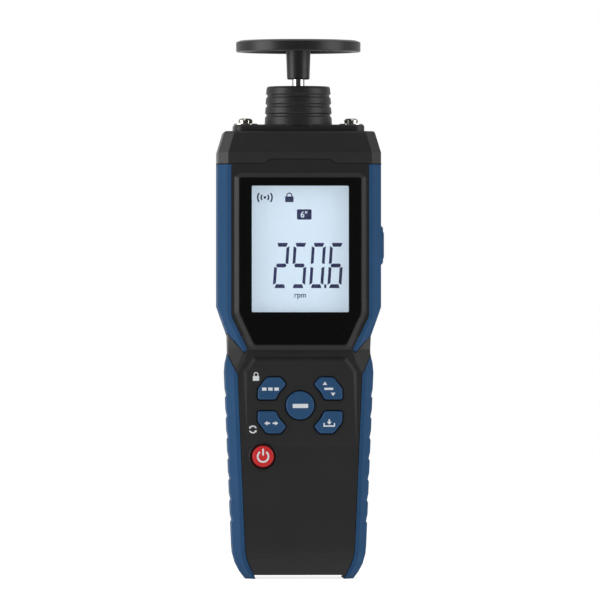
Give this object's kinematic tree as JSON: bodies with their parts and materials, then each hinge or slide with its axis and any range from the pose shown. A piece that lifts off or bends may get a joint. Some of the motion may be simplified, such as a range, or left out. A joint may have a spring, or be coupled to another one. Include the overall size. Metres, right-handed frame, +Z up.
{
  "type": "contact tachometer",
  "caption": "Waisted hand-held contact tachometer with soft blue grips, a framed display, a ribbed nose with a ball-raced spindle and a surface-speed wheel.",
  "frame": {"origin": "on the spindle axis, level with the flat feet of the lower grips on which it stands", "axes": "+Z up along the spindle axis towards the wheel, +X to the right of the display, +Y away from the display, out of the back"},
  "size_m": [0.0648, 0.0484, 0.2094],
  "materials": {
    "black_case": "moulded ABS, fine spark-eroded grain",
    "cap_black": "moulded ABS, slightly smoother than the case",
    "blue_grip": "soft thermoplastic elastomer, satin",
    "blue_key": "moulded plastic, satin",
    "red_key": "moulded plastic, satin",
    "lens": "tinted acrylic, polished, clear over the display",
    "gasket": "soft silicone",
    "lcd": "liquid crystal panel, satin polariser",
    "diffuser": "white light guide",
    "white_plastic": "moulded plastic",
    "elastomer": "layered contact rubber",
    "board": "glass-fibre laminate with green solder mask",
    "chip": "moulded epoxy",
    "gold_plate": "gold-plated copper",
    "nickel": "bright nickel plate on steel",
    "black_screw": "blackened steel",
    "brass_insert": "turned brass",
    "nose_black": "moulded glass-filled nylon, satin",
    "bearing_steel": "ground bearing steel",
    "spacer": "turned acetal",
    "spring_steel": "blued spring steel",
    "chromed_shaft": "ground and chromed steel",
    "wheel_black": "turned black acetal, satin rim",
    "ribbon": "flat cable",
    "cell_jacket": "printed film over a steel can",
    "red_lead": "insulated wire",
    "black_lead": "insulated wire"
  },
  "bodies": {
    "case": {"front_case": "black_case", "rear_case": "black_case", "head_cap": "cap_black", "upper_left_grip": "blue_grip", "upper_right_grip": "blue_grip", "lower_left_grip": "blue_grip", "lower_right_grip": "blue_grip", "tripod_insert": "brass_insert", "case_screws": "black_screw", "display_lens": "lens", "display_gasket": "gasket", "lcd_glass": "lcd", "backlight": "diffuser", "lcd_holder": "white_plastic", "contact_strip": "elastomer", "main_board": "board", "processor_chip": "chip", "board_chips": "chip", "board_screws": "nickel", "key_pads": "gold_plate", "keypad_mat": "gasket", "side_switch": "chip", "nose_collar": "nose_black", "nose_screws": "nickel", "spring_washers": "nickel", "flat_washers": "nickel", "nose_inserts": "brass_insert", "bearing_outer_races": "bearing_steel", "outer_spacer": "spacer", "bore_circlip": "spring_steel", "optical_sensor": "chip", "sensor_board": "board", "sensor_board_screws": "nickel", "sensor_ribbon": "ribbon", "battery_cells": "cell_jacket", "battery_springs": "nickel", "battery_contacts": "nickel", "positive_lead": "red_lead", "negative_lead": "black_lead"},
    "spindle": {"spindle": "chromed_shaft", "bearing_inner_races": "bearing_steel", "inner_spacer": "brass_insert", "shaft_circlip": "spring_steel", "encoder_hub": "brass_insert", "encoder_disc": "spring_steel"},
    "ball_train": {"bearing_balls": "bearing_steel", "bearing_cages": "brass_insert"},
    "wheel": {"surface_wheel": "wheel_black"},
    "upper_left_key": {"upper_left_key": "blue_key"},
    "upper_right_key": {"upper_right_key": "blue_key"},
    "centre_key": {"centre_key": "blue_key"},
    "lower_left_key": {"lower_left_key": "blue_key"},
    "lower_right_key": {"lower_right_key": "blue_key"},
    "power_key": {"power_key": "red_key"},
    "side_button": {"side_button": "blue_grip", "switch_plunger": "white_plastic"},
    "battery_door": {"battery_door": "black_case"}
  },
  "joints": [
    {"name": "spindle_spin", "type": "hinge", "parent": "case", "child": "spindle", "pos_m": [0, 0, 0.18], "axis": [0, 0, 1], "continuous": true},
    {"name": "ball_train_spin", "type": "hinge", "parent": "case", "child": "ball_train", "pos_m": [0, 0, 0.18], "axis": [0, 0, 1], "continuous": true},
    {"name": "wheel_pull", "type": "slide", "parent": "spindle", "child": "wheel", "axis": [0, 0, 1], "range_m": [0, 0.014]},
    {"name": "upper_left_key_press", "type": "slide", "parent": "case", "child": "upper_left_key", "axis": [0, 1, 0], "range_m": [0, 0.0009], "stiffness_N_per_m": 300},
    {"name": "upper_right_key_press", "type": "slide", "parent": "case", "child": "upper_right_key", "axis": [0, 1, 0], "range_m": [0, 0.0009], "stiffness_N_per_m": 300},
    {"name": "centre_key_press", "type": "slide", "parent": "case", "child": "centre_key", "axis": [0, 1, 0], "range_m": [0, 0.0009], "stiffness_N_per_m": 300},
    {"name": "lower_left_key_press", "type": "slide", "parent": "case", "child": "lower_left_key", "axis": [0, 1, 0], "range_m": [0, 0.0009], "stiffness_N_per_m": 300},
    {"name": "lower_right_key_press", "type": "slide", "parent": "case", "child": "lower_right_key", "axis": [0, 1, 0], "range_m": [0, 0.0009], "stiffness_N_per_m": 300},
    {"name": "power_key_press", "type": "slide", "parent": "case", "child": "power_key", "axis": [0, 1, 0], "range_m": [0, 0.0009], "stiffness_N_per_m": 300},
    {"name": "side_button_press", "type": "slide", "parent": "case", "child": "side_button", "axis": [-1, 0, 0], "range_m": [0, 0.0005], "stiffness_N_per_m": 300},
    {"name": "battery_door_tilt", "type": "hinge", "parent": "case", "child": "battery_door", "pos_m": [0, 0.0136, 0.0128], "axis": [-1, 0, 0], "range_deg": [0, 70]}
  ],
  "couplings": [
    {"joint": "ball_train_spin", "follows": "spindle_spin", "ratio": 0.3889}
  ]
}
